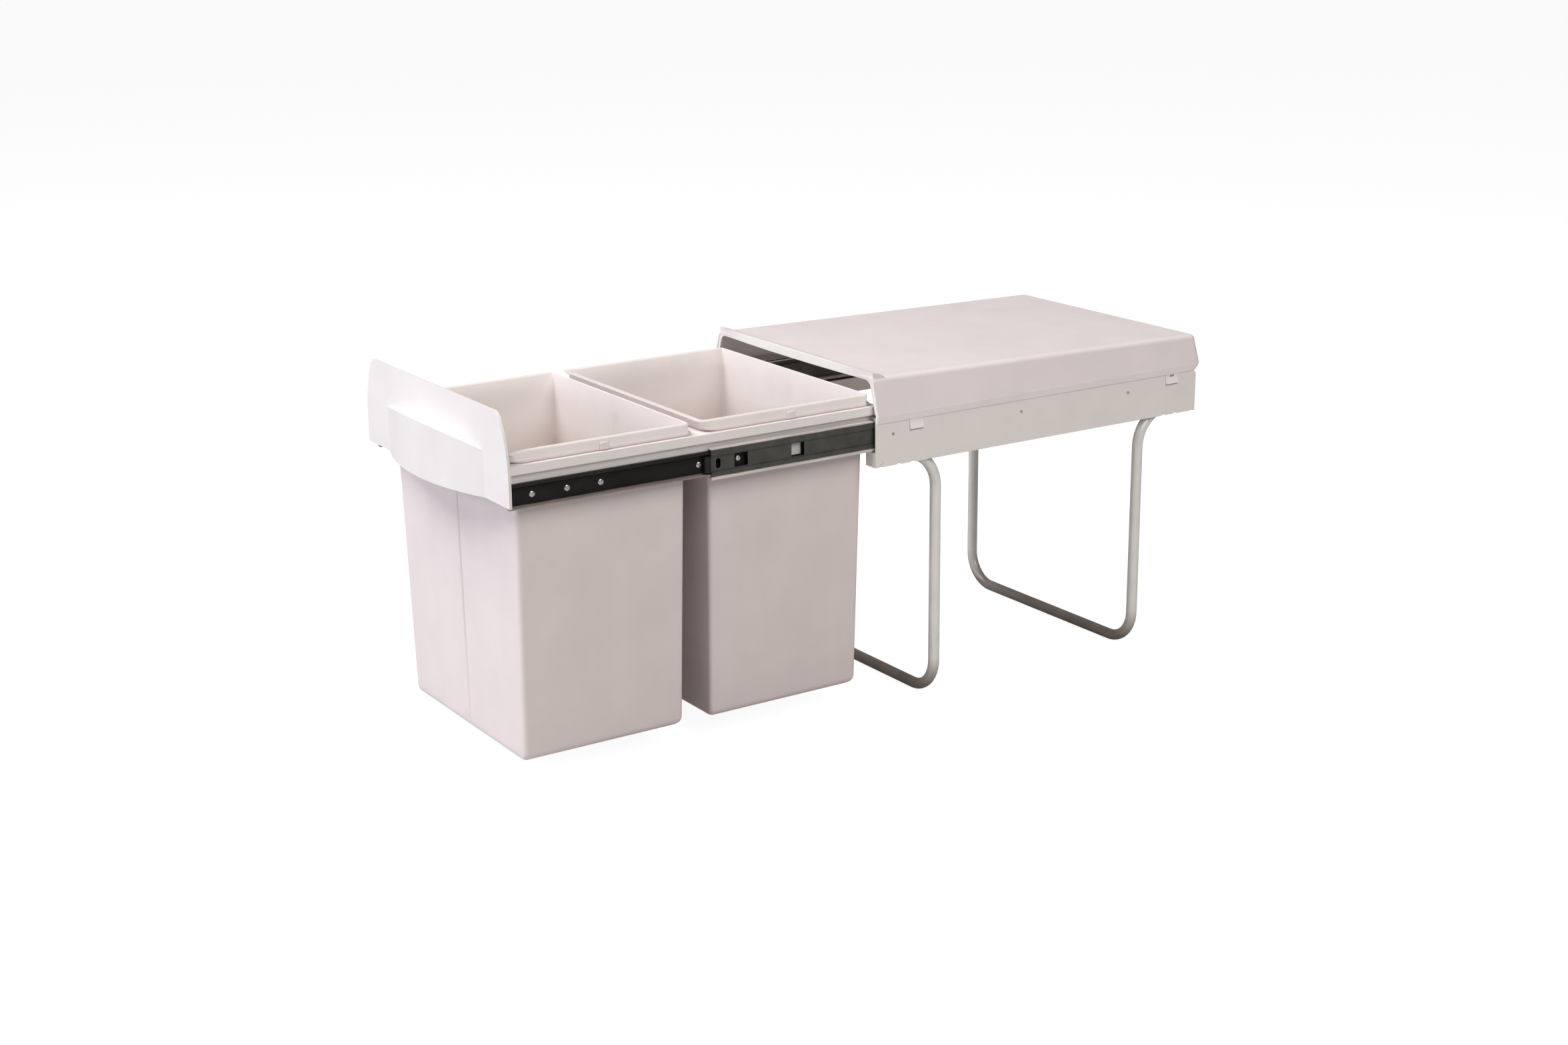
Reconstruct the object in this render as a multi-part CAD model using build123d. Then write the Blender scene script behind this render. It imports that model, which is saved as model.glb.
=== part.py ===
from build123d import *
import os

# Twin-bin pull-out unit for a kitchen cupboard, drawn with its drawer fully out.
# Millimetres. X runs across, -Y is the way the drawer pulls out, Z is up from the cupboard floor.
# The origin is under the middle of the front leg's bar.

os.makedirs("parts", exist_ok=True)

# ---------------------------------------------------------------- driving dimensions

# Side panels
body_width = 342.0            # over the outer faces of the two panels
panel_length = 480.0
panel_bottom_z = 294.5
panel_height = 57.5
panel_sheet = 1.0
channel_lip_height = 18.0     # up-turned inner lip of the bottom fold
channel_clearance = 0.3       # between the leg tube and the fold
end_flange_height = 17.0      # in-turned flange that closes the fold at the front
leg_slot_length = 62.0        # opening in the fold where a leg bends down
panel_corner_clip = 12.0      # cut off the rear top corner, under the cover's rounded corner

# Legs
tube_diameter = 13.0
tube_wall = 1.0
tube_sides = 12               # flats round the tube
bore_depth = 20.0             # how deep the tube's open ends are drawn
front_leg_inset = 92.0        # leg post behind the panels' front edge
rear_leg_inset = 81.5         # leg post ahead of the panels' rear edge
leg_axis_inset = 10.8         # leg centre line inside the panels' outer faces
top_bend_radius = 45.0
foot_bend_radius = 40.0
leg_end_inset = 3.0           # tube end behind the panel's edge

# Teeth that grip the legs, cut from the panel's bottom edge
tooth_width = 7.5
tooth_height = 6.0
tooth_bend = 24.0             # degrees that a tooth leans in towards the tube
tooth_gap = 0.6               # cut round each tooth
front_tooth_insets = (7.0, 32.0, 51.5)     # from the panel's front edge
rear_tooth_insets = (5.5, 33.0, 50.5)      # from the panel's rear edge

# Cover
seam_height = 50.0            # bottom edge of the skirt above the panel's bottom
cover_wall = 2.4
cover_front_height = 51.0     # top surface above the seam, at the front
cover_rear_height = 43.0      # the same at the rear
skirt_flare = 2.5             # widest point of the side skirts outside the panels
rear_flare = 6.5              # the same behind the panels' rear edge
skirt_flare_height = 8.0
skirt_lip_wall = 0.7          # skirt thickness at its bottom edge
cover_side_draft = 0.29       # inward lean of the side skirts, per mm of height
cover_rear_draft = 0.06
cover_front_draft = 0.06
cover_edge_radius = 7.0       # along the top edges and down the rear corners
cavity_chamfer = 3.0          # inside, along the same edges
cover_gap = 0.1               # between the skirt and the panels
border_height = 5.0           # raised front border above the top surface
border_drop = 4.4             # lower edge of the border's face below the top surface
border_bow = 5.0              # how far the border bows forwards at the middle
border_end_inset = 4.5        # its face behind the panels' front edge, at the ends
border_depth = 10.0
border_slope_height = 2.6     # fall of the border's top towards the rear
border_fillet_run = 5.0
return_width = 5.0            # in-turned front edge of the skirts
return_wall = 2.4
return_corner_radius = 10.0
return_bottom = 9.5           # its lower end above the seam
tab_width = 19.0
tab_length = 12.5
tab_thickness = 0.9
tab_hook = 2.6                # how far the tab's hook stands out of the panel
front_tab_inset = 56.5        # tab centre behind the panels' front edge
rear_tab_inset = 39.5         # tab centre ahead of the panels' rear edge
tab_clearance = 0.25
tab_slot_height = 2.4
tab_slot_length = 7.0

# Slides: heights are over the whole member, depths are measured from the panel inwards
slide_length = 450.0
slide_height = 42.0
slide_depth = 12.7
slide_sheet = 1.2
slide_axis_height = 36.0      # slide centre line above the panel's bottom
slide_front_inset = 1.0       # outer member behind the panel's front edge
middle_length = 436.0
middle_front_inset = 12.6     # middle member behind the outer one, drawer shut
ball_diameter = 3.2
race_clearance = 0.08
race_centre_depth = 6.9
bead_half_width = 2.4
middle_wall_depth = 3.4
middle_web_depth = 5.0
middle_web_half_height = 8.8
balls_per_row = 3
cage_length = 170.0
cage_thickness = 0.5
cage_half_width = 2.0
cage_play = 19.0              # cage end inside the members' overlap, drawer out
bumper_length = 7.0

# Travel
travel = 450.0
closed_gap = 1.7              # between the plate and the panels, drawer shut

# Screws
screw_diameter = 4.0
screw_head_diameter = 7.0
screw_head_height = 1.2
screw_clearance = 0.1
shank_sides = 6
head_sides = 12
panel_screw_insets = (24.3, 207.5, 371.0)                  # behind the panels' front edge
inner_screw_insets = (30.4, 70.8, 110.3, 229.2, 278.7)     # behind the plate
inner_screw_length = 5.0
access_hole_length = 17.0
access_hole_height = 15.0
access_hole_insets = (278.7, 352.0)                        # behind the plate
latch_hole_length = 6.0
latch_hole_height = 11.0
latch_hole_corner = 1.8
latch_hole_inset = 9.5                                     # behind the middle member's front end

# Tray
tray_ledge_rise = 32.5        # ledge above the slides' centre line
tray_sheet = 1.5
tray_step_height = 9.5        # outer upper band, below the ledge
tray_step_out = 4.2           # how far that band stands outside the web
tray_side_ledge = 12.5        # from that band's outer face to the bins' opening
tray_web_height = 44.0        # ledge to the rail's bottom edge
tray_lip_height = 7.0
tray_front_ledge = 15.7
tray_divider_width = 26.0
tray_rear_ledge = 9.0
cross_bar_height = 22.0

# Front plate
plate_thickness = 3.0
plate_side_reach = 3.0        # how far the plate stands out past each side panel
plate_drop = 40.4             # plate's bottom edge below the tray's ledge
plate_height = 98.0
plate_shoulder_height = 30.0  # height at which the plate's sides start to draw in
plate_draw_in = 15.0          # how much each side draws in at the top corner
plate_corner_radius = 11.0
handle_end_inset = 56.0       # handle's ends inside the plate's sides
handle_bulge = 22.0
handle_end_height = 50.4      # handle's top edge at its ends, above the plate's bottom
handle_arch = 12.0            # rise of the top edge at the middle
handle_wall = 2.2
plate_screw_spacing = 110.0
plate_screw_depth = 2.4

# Bins
bin_bottom_z = 31.0
bin_side_taper = 11.5         # how far each side draws in from the top to the bottom
bin_bottom_length = 196.0
bin_top_length = 203.0
bin_wall = 2.0
bin_corner_radius = 12.0
bin_floor_chamfer = 3.6       # outside, round the floor
bin_cavity_chamfer = 3.0      # inside, round the floor
bin_rib_inset = 6.0           # foot of the ribs above the bottom
bin_seat_clearance = 1.5      # between the bin's body and the tray's opening
bin_seat_gap = 0.3            # between the bin's shoulder and the tray's ledge
shoulder_width = 4.0
upstand_height = 13.0
rim_overhang = 4.0
rim_thickness = 2.4
bin_rib_width = 14.0
bin_rib_height = 1.2
lug_length = 9.0

# ---------------------------------------------------------------- places worked out from them

half_body = body_width / 2
panel_inner_x = half_body - panel_sheet
panel_top_z = panel_bottom_z + panel_height
seam_z = panel_bottom_z + seam_height
front_y = -front_leg_inset
rear_y = front_y + panel_length
rear_leg_y = rear_y - rear_leg_inset

tube_radius = tube_diameter / 2
tube_axis_z = panel_bottom_z + panel_sheet + channel_clearance + tube_radius
tube_axis_x = half_body - leg_axis_inset
channel_lip_x = tube_axis_x - tube_radius - channel_clearance

slide_axis_z = panel_bottom_z + slide_axis_height
ball_radius = ball_diameter / 2
race_radius = ball_radius + race_clearance
race_outer_radius = race_radius + slide_sheet
outer_race_v = slide_height / 2 - race_outer_radius
inner_race_v = outer_race_v - 2 * race_radius - slide_sheet
flange_low = 0.18             # flat part of a flange, beside its race
lip_height = 0.9              # how far the middle member's lips rise past the ball centres

plate_back_y = front_y - closed_gap - travel
outer_front_y = front_y + slide_front_inset
middle_travel = travel / 2
middle_front_y = outer_front_y + middle_front_inset - middle_travel
inner_front_y = outer_front_y - travel
rail_x = panel_inner_x - slide_depth
tray_ledge_z = slide_axis_z + tray_ledge_rise
plate_bottom_z = tray_ledge_z - plate_drop
rail_rear_y = (
    plate_back_y + tray_front_ledge + tray_divider_width + tray_rear_ledge
    + 2 * (bin_top_length + 2 * bin_seat_clearance)
)

plate_width = body_width + 2 * plate_side_reach
handle_width = plate_width - 2 * handle_end_inset

bin_opening_width = 2 * (rail_x + tray_step_out - tray_side_ledge)
bin_top_width = bin_opening_width - 2 * bin_seat_clearance
bin_bottom_width = bin_top_width - 2 * bin_side_taper
bin_opening_length = bin_top_length + 2 * bin_seat_clearance
bin_front_y = plate_back_y + tray_front_ledge + bin_opening_length / 2
bin_rear_y = bin_front_y + bin_opening_length + tray_divider_width
shoulder_z = tray_ledge_z + bin_seat_gap
rim_z = shoulder_z + upstand_height


# ---------------------------------------------------------------- helpers

def along_y(section, y0, y1):
    """Extrude a section drawn as (X, Z) from y0 to y1."""
    return Pos(0, y1, 0) * extrude(Plane.XZ * section, amount=y1 - y0)


def along_x(section, x0, x1):
    """Extrude a section drawn as (Y, Z) from x0 to x1."""
    return Pos(x0, 0, 0) * extrude(Plane.YZ * section, amount=x1 - x0)


def block(x0, x1, y0, y1, z0, z1):
    """A box between two corners."""
    return Pos((x0 + x1) / 2, (y0 + y1) / 2, (z0 + z1) / 2) * Box(x1 - x0, y1 - y0, z1 - z0)


def rectangle(x0, x1, y0, y1):
    """A flat rectangle between two corners."""
    return Pos((x0 + x1) / 2, (y0 + y1) / 2) * Rectangle(x1 - x0, y1 - y0)


def polygon(*points):
    """A flat face through its corners; a corner given twice in a row counts once."""
    corners = [point for index, point in enumerate(points) if point != points[index - 1]]
    return make_face(Polyline(*corners, close=True))


def folded_sheet(points, thickness):
    """Section of a folded sheet whose middle line runs through the points, square to each other."""
    half = thickness / 2
    section = None
    for index, (start, end) in enumerate(zip(points, points[1:])):
        first = 0 if index == 0 else half
        last = 0 if index == len(points) - 2 else half
        if start[0] == end[0]:
            way = 1 if end[1] > start[1] else -1
            low, high = sorted((start[1] - way * first, end[1] + way * last))
            strip = rectangle(start[0] - half, start[0] + half, low, high)
        else:
            way = 1 if end[0] > start[0] else -1
            low, high = sorted((start[0] - way * first, end[0] + way * last))
            strip = rectangle(low, high, start[1] - half, start[1] + half)
        section = strip if section is None else section + strip
    return section


def ring_sector(centre, inner, outer, start, end):
    """Part of a flat ring, between two angles in degrees."""
    first = CenterArc(centre, outer, start, end - start)
    second = CenterArc(centre, inner, start, end - start)
    sides = [Line(first @ 0, second @ 0), Line(first @ 1, second @ 1)]
    return make_face([first, second] + sides)


def rounded_block(width, length, radius, z0, z1):
    """A rounded rectangle raised from z0 to z1."""
    return Pos(0, 0, z0) * extrude(RectangleRounded(width, length, radius), amount=z1 - z0)


def prism_x(radius, sides, x0, x1, y, z):
    """A bar along X with flat sides, its corners on the given radius."""
    section = Pos(y, z) * RegularPolygon(radius, sides)
    return along_x(section, x0, x1)


def prism_y(radius, sides, y0, y1, x, z):
    """A bar along Y with flat sides, its corners on the given radius."""
    section = Pos(x, z) * RegularPolygon(radius, sides)
    return along_y(section, y0, y1)


def save(shape, name):
    """Write one sub-part."""
    export_step(shape, f"parts/{name}.step")


def save_pair(shape, name):
    """Write the right-hand piece and its mirror image on the left."""
    save(shape, f"{name}_right")
    save(mirror(shape, about=Plane.YZ), f"{name}_left")


# ---------------------------------------------------------------- side panels

def tooth_notch(y):
    """Leaning triangle that is cut out of the panel's bottom edge beside a tooth."""
    outline = polygon(
        (y - tooth_width / 2, panel_bottom_z - 1),
        (y + tooth_width / 2, panel_bottom_z - 1),
        (y + tooth_width / 2, panel_bottom_z + tooth_height),
    )
    return along_x(outline, panel_inner_x - panel_sheet, half_body + 1)


def tooth(y):
    """The cut-out triangle itself, bent in about its upright edge."""
    outline = polygon(
        (-tooth_width + tooth_gap, panel_bottom_z + tooth_gap),
        (0.5, panel_bottom_z + tooth_gap),
        (0.5, panel_bottom_z + tooth_height - 0.5),
        (0, panel_bottom_z + tooth_height - 0.5),
    )
    plate = along_x(outline, -panel_sheet, 0)
    return Pos(half_body, y + tooth_width / 2, 0) * Rot(0, 0, -tooth_bend) * plate


def tab_window(y):
    """Notch in the panel's top edge that a snap tab of the cover drops into."""
    half = tab_width / 2 + tab_clearance
    bottom = seam_z - tab_length - tab_clearance
    return block(panel_inner_x - 1, half_body + 1, y - half, y + half, bottom, panel_top_z + 1)


def leg_slot(leg_y, towards):
    """Opening in the bottom fold where a leg's tube bends down; towards is -1 for the front leg."""
    margin = tube_radius + 2
    ends = sorted((leg_y - towards * margin, leg_y + towards * leg_slot_length))
    x0 = channel_lip_x - panel_sheet - 1
    return block(x0, panel_inner_x, ends[0], ends[1], panel_bottom_z - 1,
                 panel_bottom_z + channel_lip_height + 1)


def side_panel():
    """Right-hand panel: a sheet with a U-fold along the bottom that holds the legs' ends."""
    middle_x = half_body - panel_sheet / 2
    lip_middle_x = channel_lip_x - panel_sheet / 2
    section = folded_sheet(
        [
            (middle_x, panel_top_z),
            (middle_x, panel_bottom_z + panel_sheet / 2),
            (lip_middle_x, panel_bottom_z + panel_sheet / 2),
            (lip_middle_x, panel_bottom_z + channel_lip_height),
        ],
        panel_sheet,
    )
    panel = along_y(section, front_y, rear_y)
    panel += block(
        channel_lip_x - panel_sheet, half_body, front_y, front_y + panel_sheet,
        panel_bottom_z + panel_sheet / 2, panel_bottom_z + end_flange_height,
    )
    panel -= along_x(
        polygon(
            (rear_y + 1, panel_top_z + 1),
            (rear_y - panel_corner_clip, panel_top_z + 1),
            (rear_y + 1, panel_top_z - panel_corner_clip),
        ),
        panel_inner_x - 1,
        half_body + 1,
    )
    panel -= leg_slot(0.0, -1)
    panel -= leg_slot(rear_leg_y, 1)
    places = [front_y + inset for inset in front_tooth_insets]
    places += [rear_y - inset for inset in rear_tooth_insets]
    for y in places:
        panel -= tooth_notch(y)
        panel += tooth(y)
    panel -= tab_window(front_y + front_tab_inset)
    panel -= tab_window(rear_y - rear_tab_inset)
    hole_radius = screw_diameter / 2 + screw_clearance
    for inset in panel_screw_insets:
        panel -= prism_x(hole_radius, shank_sides, panel_inner_x - 1, half_body + 1, front_y + inset,
                         slide_axis_z)
    return panel


# ---------------------------------------------------------------- legs

def leg(post_y, towards):
    """U-bent tube whose top ends bend along the panels; towards is -1 at the front.

    The tube is bored only near its open ends, where its wall shows."""
    end_y = front_y + leg_end_inset if towards < 0 else rear_y - leg_end_inset
    x = tube_axis_x
    path = FilletPolyline(
        (x, end_y, tube_axis_z),
        (x, post_y, tube_axis_z),
        (x, post_y, tube_radius),
        (-x, post_y, tube_radius),
        (-x, post_y, tube_axis_z),
        (-x, end_y, tube_axis_z),
        radius=[top_bend_radius, foot_bend_radius, foot_bend_radius, top_bend_radius],
    )
    round_flats = RegularPolygon(tube_radius, tube_sides)
    section = Plane(origin=(x, end_y, tube_axis_z), x_dir=(1, 0, 0), z_dir=(0, -towards, 0)) * round_flats
    tube = sweep(section, path=path)
    bore_ends = sorted((end_y + towards, end_y - towards * bore_depth))
    for side_x in (-x, x):
        tube -= prism_y(tube_radius - tube_wall, tube_sides, bore_ends[0], bore_ends[1], side_x, tube_axis_z)
    return tube


# ---------------------------------------------------------------- cover

def cover_outline(inset, bottom_z):
    """Body of the cover, drawn in by inset: a front view and a side view that cut each other."""
    flare_z = seam_z + skirt_flare_height
    flare_x = half_body + skirt_flare - inset
    top_z = seam_z + cover_front_height + 20
    top_x = flare_x - (top_z - flare_z) * cover_side_draft
    seam_x = half_body + cover_gap + (skirt_lip_wall if inset == 0 else 0)
    front_view = polygon(
        (-seam_x, bottom_z), (seam_x, bottom_z), (seam_x, seam_z), (flare_x, flare_z), (top_x, top_z),
        (-top_x, top_z), (-flare_x, flare_z), (-seam_x, seam_z),
    )
    flare_y = rear_y + rear_flare - inset
    seam_y = rear_y + cover_gap + (skirt_lip_wall if inset == 0 else 0)
    rear_top_z = seam_z + cover_rear_height - inset
    rear_top_y = flare_y - (rear_top_z - flare_z) * cover_rear_draft
    front_top_z = seam_z + cover_front_height - inset
    front_top_y = front_y + (front_top_z - seam_z) * cover_front_draft
    start_y = front_y if inset == 0 else front_y - 20
    start_top_y = front_top_y if inset == 0 else front_y - 20
    side_view = polygon(
        (start_y, bottom_z), (seam_y, bottom_z), (seam_y, seam_z), (flare_y, flare_z),
        (rear_top_y, rear_top_z), (start_top_y, front_top_z),
    )
    reach = half_body + skirt_flare + 10
    body = along_y(front_view, front_y - 30, rear_y + 20) & along_x(side_view, -reach, reach)
    return body


def round_cover(body, inset):
    """Round the top edges and the two rear corners of the cover's body, drawn in by inset."""
    def is_long_top(edge):
        centre = edge.center()
        return centre.Z > seam_z + cover_rear_height / 2 + 6 and edge.length > 200
    def is_rear_corner(edge):
        centre = edge.center()
        return centre.Y > rear_y - 20 and abs(centre.X) > half_body - 20 and edge.length < 60
    corners = [e for e in body.edges() if is_rear_corner(e)]
    tops = [e for e in body.edges() if is_long_top(e) and e.center().Y > front_y + 20]
    if inset:
        upper_corners = [e for e in corners if e.length > 20]
        return chamfer(tops + upper_corners, cavity_chamfer)
    return fillet(corners + tops, cover_edge_radius)


def cover_border():
    """Raised border along the cover's front edge: a low wedge whose face bows forwards."""
    top_z = seam_z + cover_front_height
    low_z = top_z - border_drop
    end_y = front_y + border_end_inset
    crest_y = end_y - border_bow
    base_y = end_y + border_depth + border_fillet_run
    slope = (cover_front_height - cover_rear_height) / panel_length
    wedge = polygon(
        (crest_y - 1, low_z),
        (crest_y - 1, top_z + border_height),
        (end_y, top_z + border_height),
        (end_y + border_depth, top_z + border_height - border_slope_height),
        (base_y, top_z - slope * (border_depth + border_fillet_run) + 0.01),
        (base_y, low_z),
    )
    half = half_body + skirt_flare - (cover_front_height - skirt_flare_height) * cover_side_draft - 1
    face_arc = ThreePointArc((-half, end_y), (0, crest_y), (half, end_y))
    plan = make_face([face_arc, Line((half, end_y), (half, base_y)), Line((half, base_y), (-half, base_y)),
                      Line((-half, base_y), (-half, end_y))])
    return along_x(wedge, -half, half) & Pos(0, 0, low_z - 1) * extrude(plan, amount=30)


def skirt_return():
    """In-turned front edge of the skirts and the top: a thin frame round the cover's mouth."""
    low_z = seam_z + return_bottom
    top_z = seam_z + cover_front_height - cover_wall / 2
    def half_at(z, inset):
        return half_body + skirt_flare - (z - seam_z - skirt_flare_height) * cover_side_draft - inset
    skin = cover_wall / 2
    frame = polygon((-half_at(low_z, skin), low_z), (half_at(low_z, skin), low_z),
                    (half_at(top_z, skin), top_z), (-half_at(top_z, skin), top_z))
    inner = cover_wall + return_width
    mouth_z = seam_z + cover_front_height - border_drop
    mouth = polygon((-half_at(low_z - 1, inner), low_z - 1), (half_at(low_z - 1, inner), low_z - 1),
                    (half_at(mouth_z, inner), mouth_z), (-half_at(mouth_z, inner), mouth_z))
    upper = mouth.vertices().group_by(Axis.Y)[-1]
    mouth = fillet(upper, return_corner_radius)
    start_y = front_y + cover_front_height * cover_front_draft
    return along_y(frame - mouth, start_y, start_y + return_wall)


def snap_tab(y, with_slot):
    """Hooked tab under the skirt; its hook stands out of the panel and holds the cover down."""
    x0 = half_body - tab_thickness
    bottom = seam_z - tab_length
    hook = polygon(
        (x0, bottom),
        (half_body + tab_hook, bottom + 1.4),
        (half_body + tab_hook - 0.4, bottom + 3.0),
        (half_body + 0.3, seam_z - 3.5),
        (half_body + 0.3, seam_z + 3.0),
        (x0, seam_z + 3.0),
    )
    tab = along_y(hook, y - tab_width / 2, y + tab_width / 2)
    if with_slot:
        tab -= block(x0 - 1, half_body + 1, y - tab_slot_length / 2, y + tab_slot_length / 2,
                     seam_z - 3.2, seam_z - 3.2 + tab_slot_height)
    return tab


def top_cover():
    """Moulded cover: drafted skirts on three sides, open front, snap tabs on both sides."""
    cover = round_cover(cover_outline(0, seam_z), 0)
    cavity = round_cover(cover_outline(cover_wall, seam_z - 5), cover_wall)
    cover -= cavity
    cover += cover_border()
    cover += skirt_return()
    for place, with_slot in ((front_y + front_tab_inset, False), (rear_y - rear_tab_inset, True)):
        tab = snap_tab(place, with_slot)
        cover += tab
        cover += mirror(tab, about=Plane.YZ)
    return cover


# ---------------------------------------------------------------- slides

def on_side(section, y0, y1):
    """Run a slide section along Y; it is drawn as (depth from the panel, height from the axis)."""
    placed = Pos(panel_inner_x, slide_axis_z) * mirror(section, about=Plane.YZ)
    return along_y(placed, y0, y1)


def both_halves(upper):
    """Add the mirror image of a section's upper half below the slide's axis."""
    return upper + mirror(upper, about=Plane.XZ)


def outer_section():
    """C-shaped member on the panel, with an arched race over each outer ball row."""
    web = rectangle(0, slide_sheet, 0, outer_race_v + flange_low + slide_sheet)
    flange = rectangle(0, race_centre_depth - race_radius - 0.2, outer_race_v + flange_low,
                       outer_race_v + flange_low + slide_sheet)
    race = ring_sector((race_centre_depth, outer_race_v), race_radius, race_outer_radius, 15, 172)
    return both_halves(web + flange + race)


def middle_section():
    """Web with a joggle and two beads, each grooved above and below for the ball rows."""
    top = outer_race_v - lip_height
    low = inner_race_v + lip_height
    right = race_centre_depth + bead_half_width
    wall = rectangle(middle_wall_depth, middle_wall_depth + slide_sheet, middle_web_half_height, top)
    bead = rectangle(middle_wall_depth, right, low, top)
    bead -= Pos(race_centre_depth, outer_race_v) * Circle(race_radius)
    bead -= Pos(race_centre_depth, inner_race_v) * Circle(race_radius)
    joggle = rectangle(middle_wall_depth, middle_web_depth + slide_sheet,
                       middle_web_half_height, middle_web_half_height + slide_sheet)
    web = rectangle(middle_web_depth, middle_web_depth + slide_sheet, 0,
                    middle_web_half_height + slide_sheet)
    return both_halves(wall + bead + joggle + web)


def inner_section():
    """Member on the tray, with a trough under each inner ball row."""
    top = inner_race_v - flange_low
    web = rectangle(slide_depth - slide_sheet, slide_depth, 0, top)
    flange = rectangle(race_centre_depth + race_radius + 0.2, slide_depth, top - slide_sheet, top)
    race = ring_sector((race_centre_depth, inner_race_v), race_radius, race_outer_radius, 230, 352)
    return both_halves(web + flange + race)


def slide_outer():
    """Fixed member with its screw holes."""
    member = on_side(outer_section(), outer_front_y, outer_front_y + slide_length)
    hole_radius = screw_diameter / 2 + screw_clearance
    for inset in panel_screw_insets:
        member -= prism_x(hole_radius, shank_sides, panel_inner_x - slide_sheet - 1, panel_inner_x + 1,
                          front_y + inset, slide_axis_z)
    return member


def slide_middle():
    """Middle member with its latch hole and the access holes to the inner screws."""
    member = on_side(middle_section(), middle_front_y, middle_front_y + middle_length)
    x0 = panel_inner_x - middle_web_depth - slide_sheet - 1
    x1 = panel_inner_x - middle_web_depth + 1
    latch = Rectangle(latch_hole_length, latch_hole_height)
    latch = chamfer(latch.vertices(), latch_hole_corner)
    member -= along_x(Pos(middle_front_y + latch_hole_inset, slide_axis_z) * latch, x0, x1)
    for inset in access_hole_insets:
        hole = Pos(plate_back_y + inset, slide_axis_z) * Rectangle(access_hole_length, access_hole_height)
        member -= along_x(hole, x0, x1)
    return member


def slide_inner():
    """Inner member with its screw holes and the window behind the middle member's rear one."""
    member = on_side(inner_section(), inner_front_y, inner_front_y + slide_length)
    x0 = panel_inner_x - slide_depth - 1
    x1 = panel_inner_x - slide_depth + slide_sheet + 1
    hole_radius = screw_diameter / 2 + screw_clearance
    for inset in inner_screw_insets:
        member -= prism_x(hole_radius, shank_sides, x0, x1, plate_back_y + inset, slide_axis_z)
    window = Pos(plate_back_y + access_hole_insets[1], slide_axis_z) * Rectangle(
        access_hole_length, access_hole_height)
    member -= along_x(window, x0, x1)
    return member


def slide_bumper():
    """Plastic end clip in the front of the middle member."""
    x1 = panel_inner_x - middle_wall_depth
    x0 = panel_inner_x - middle_web_depth - slide_sheet - 3.0
    half = middle_web_half_height - 0.2
    clip = block(x0, x1, middle_front_y - bumper_length, middle_front_y, slide_axis_z - half,
                 slide_axis_z + half)
    return chamfer(clip.edges().filter_by(Axis.Z), 1.0)


def cage_strips(race_v, low_side, high_side, start_y):
    """Two retainer strips, one above and one below the axis, holed for the balls."""
    middle = (low_side + high_side) / 2
    strip = rectangle(race_centre_depth - cage_half_width, race_centre_depth + cage_half_width,
                      middle - cage_thickness / 2, middle + cage_thickness / 2)
    strips = on_side(both_halves(strip), start_y, start_y + cage_length)
    for y in ball_places(start_y):
        strips -= block(panel_inner_x - race_centre_depth - race_radius,
                        panel_inner_x - race_centre_depth + race_radius, y - race_radius, y + race_radius,
                        slide_axis_z - slide_height, slide_axis_z + slide_height)
    return strips


def ball_places(start_y):
    """Where the balls of one row sit along the cage."""
    pitch = cage_length / balls_per_row
    return [start_y + pitch * (index + 0.5) for index in range(balls_per_row)]


def faceted_ball():
    """A ball of 26 flat faces with its corners on the ball's radius."""
    side = ball_radius * 1.7256
    return chamfer(Box(side, side, side).edges(), side * 0.2929)


def ball_rows(race_v, start_y):
    """The balls above and below the axis, as separate solids."""
    ball = faceted_ball()
    balls = []
    for y in ball_places(start_y):
        for side in (1, -1):
            centre = Pos(panel_inner_x - race_centre_depth, y, slide_axis_z + side * race_v)
            balls.append(centre * ball)
    return Compound(children=balls)


def panel_screws():
    """Screws from inside the outer member into the panel; their ends show in the panel's holes."""
    screws = []
    for inset in panel_screw_insets:
        y = front_y + inset
        head_x = panel_inner_x - slide_sheet
        screw = prism_x(screw_diameter / 2, shank_sides, head_x - 0.01, half_body, y, slide_axis_z)
        screw += prism_x(screw_head_diameter / 2, head_sides, head_x - screw_head_height, head_x, y,
                         slide_axis_z)
        screws.append(screw)
    return Compound(children=screws)


def inner_screws():
    """Screws from the inner member into the tray's rail."""
    screws = []
    for inset in inner_screw_insets:
        y = plate_back_y + inset
        head_x = rail_x + slide_sheet
        screw = prism_x(screw_diameter / 2, shank_sides, head_x - inner_screw_length, head_x + 0.01, y,
                        slide_axis_z)
        screw += prism_x(screw_head_diameter / 2, head_sides, head_x, head_x + screw_head_height, y,
                         slide_axis_z)
        screws.append(screw)
    return Compound(children=screws)


# ---------------------------------------------------------------- tray

def tray_rail():
    """Right-hand rail: a bent sheet with a step, a top ledge and a lip towards the bins."""
    web_x = rail_x - tray_sheet / 2
    step_x = rail_x + tray_step_out - tray_sheet / 2
    step_z = tray_ledge_z - tray_step_height + tray_sheet / 2
    top_z = tray_ledge_z - tray_sheet / 2
    lip_x = bin_opening_width / 2 + tray_sheet / 2
    section = folded_sheet(
        [
            (web_x, tray_ledge_z - tray_web_height), (web_x, step_z), (step_x, step_z), (step_x, top_z),
            (lip_x, top_z), (lip_x, tray_ledge_z - tray_lip_height),
        ],
        tray_sheet,
    )
    rail = along_y(section, plate_back_y, rail_rear_y)
    for inset in inner_screw_insets:
        rail -= prism_x(screw_diameter / 2 + screw_clearance, shank_sides, rail_x - tray_sheet - 1,
                        rail_x + 1, plate_back_y + inset, slide_axis_z)
    return rail


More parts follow.
